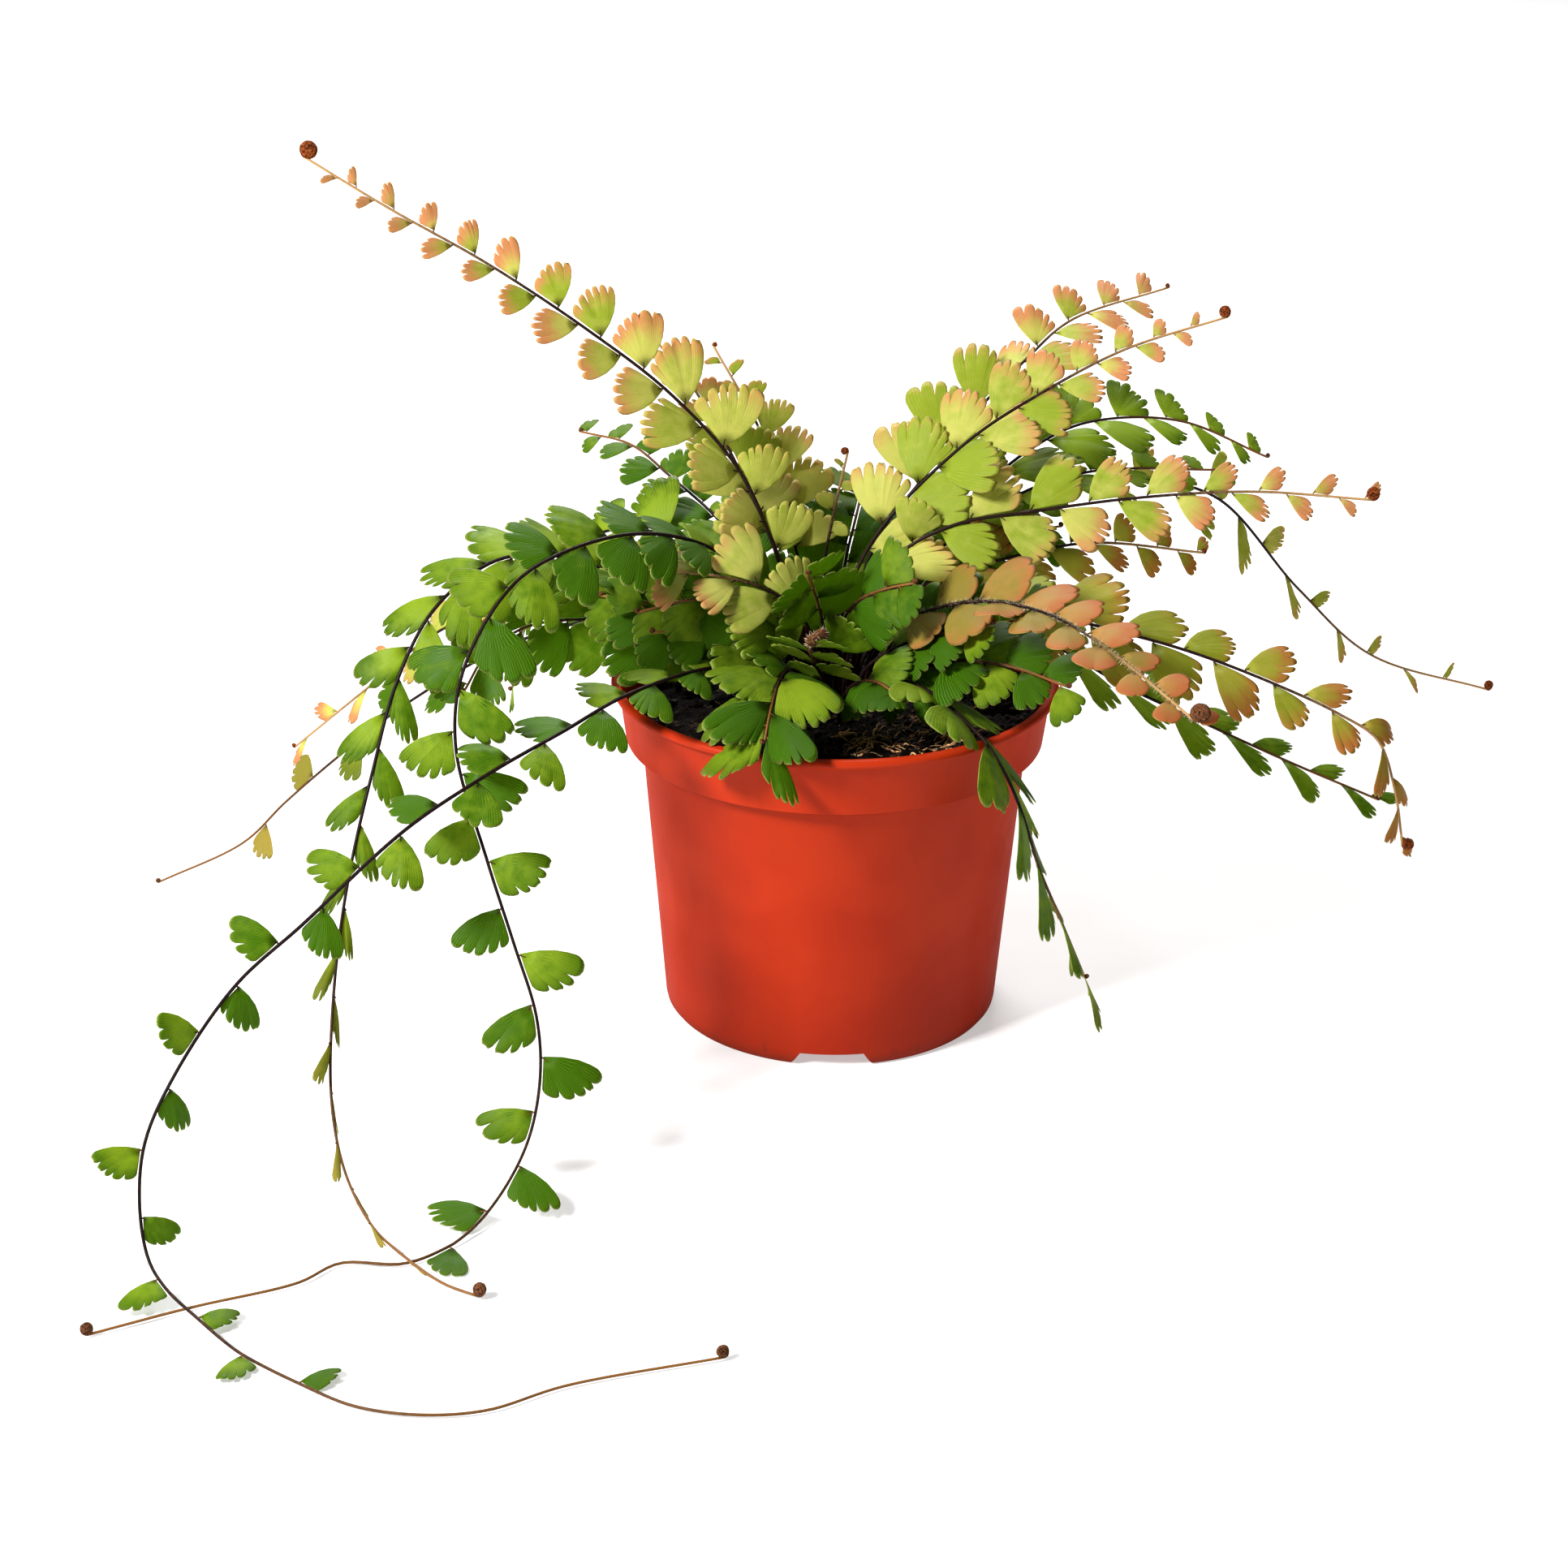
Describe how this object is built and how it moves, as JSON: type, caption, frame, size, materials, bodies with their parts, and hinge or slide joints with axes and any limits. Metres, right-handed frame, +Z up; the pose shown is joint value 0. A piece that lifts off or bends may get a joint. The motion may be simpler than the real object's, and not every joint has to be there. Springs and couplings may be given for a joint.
{
  "type": "potted fern",
  "caption": "Trailing maidenhair fern with arching fronds of lobed leaflets, growing in a round terracotta-coloured plastic nursery pot.",
  "frame": {"origin": "middle of the pot's foot, on the plane that the pot stands on", "axes": "+Z up along the pot's axis; +X to the right and +Y to the back, so that the long trailing fronds lie at the left front"},
  "size_m": [0.4043, 0.3466, 0.2347],
  "materials": {
    "pot_plastic": "moulded plastic, softly shiny, a little soiled",
    "potting_mix": "damp dark brown peat mix with straw fibres",
    "leaf_young": "young yellow green leaflets, salmon at the lobes",
    "leaf_mature": "mid green leaflets on a brown black stem",
    "leaf_olive": "ageing olive green leaflets with brown tips",
    "leaf_red": "salmon red leaflets with an olive middle"
  },
  "bodies": {
    "root": {"pot": "pot_plastic", "soil": "potting_mix", "frond_upper_left": "leaf_young", "frond_up_left_back": "leaf_young", "frond_up_back": "leaf_young", "frond_middle_young": "leaf_young", "frond_left_high": "leaf_mature", "frond_left_arch": "leaf_mature", "frond_left_far": "leaf_young", "frond_left_thread": "leaf_mature", "frond_left_low": "leaf_mature", "frond_left_mid": "leaf_mature", "frond_left_trailing_far": "leaf_mature", "frond_left_trailing_near": "leaf_mature", "frond_left_trailing_long": "leaf_mature", "frond_front_over_rim": "leaf_mature", "frond_front_fiddlehead": "leaf_mature", "frond_front_right_hanging": "leaf_mature", "frond_right_low_inner": "leaf_mature", "frond_right_low_outer": "leaf_mature", "frond_right_high": "leaf_young", "frond_right_high_back": "leaf_young", "frond_right_green_arch": "leaf_mature", "frond_right_level": "leaf_young", "frond_right_level_low": "leaf_olive", "frond_right_red": "leaf_red", "frond_right_olive_arch": "leaf_olive", "frond_right_green_low": "leaf_mature", "frond_right_far": "leaf_young", "frond_right_mid_back": "leaf_mature", "frond_back_left_outer": "leaf_mature", "frond_back_left": "leaf_mature", "frond_back_middle": "leaf_mature", "frond_back_right": "leaf_mature", "frond_back_right_outer": "leaf_mature", "frond_crown_left": "leaf_mature", "frond_crown_left_low": "leaf_mature", "frond_crown_left_outer": "leaf_mature", "frond_crown_pale": "leaf_young", "frond_crown_front": "leaf_mature", "frond_crown_front_right": "leaf_mature", "frond_crown_right": "leaf_mature", "frond_crown_low_front": "leaf_mature", "frond_crown_back": "leaf_mature", "frond_crown_back_right": "leaf_mature", "frond_crown_low_back": "leaf_mature", "frond_crown_low_back_left": "leaf_mature"}
  },
  "joints": []
}
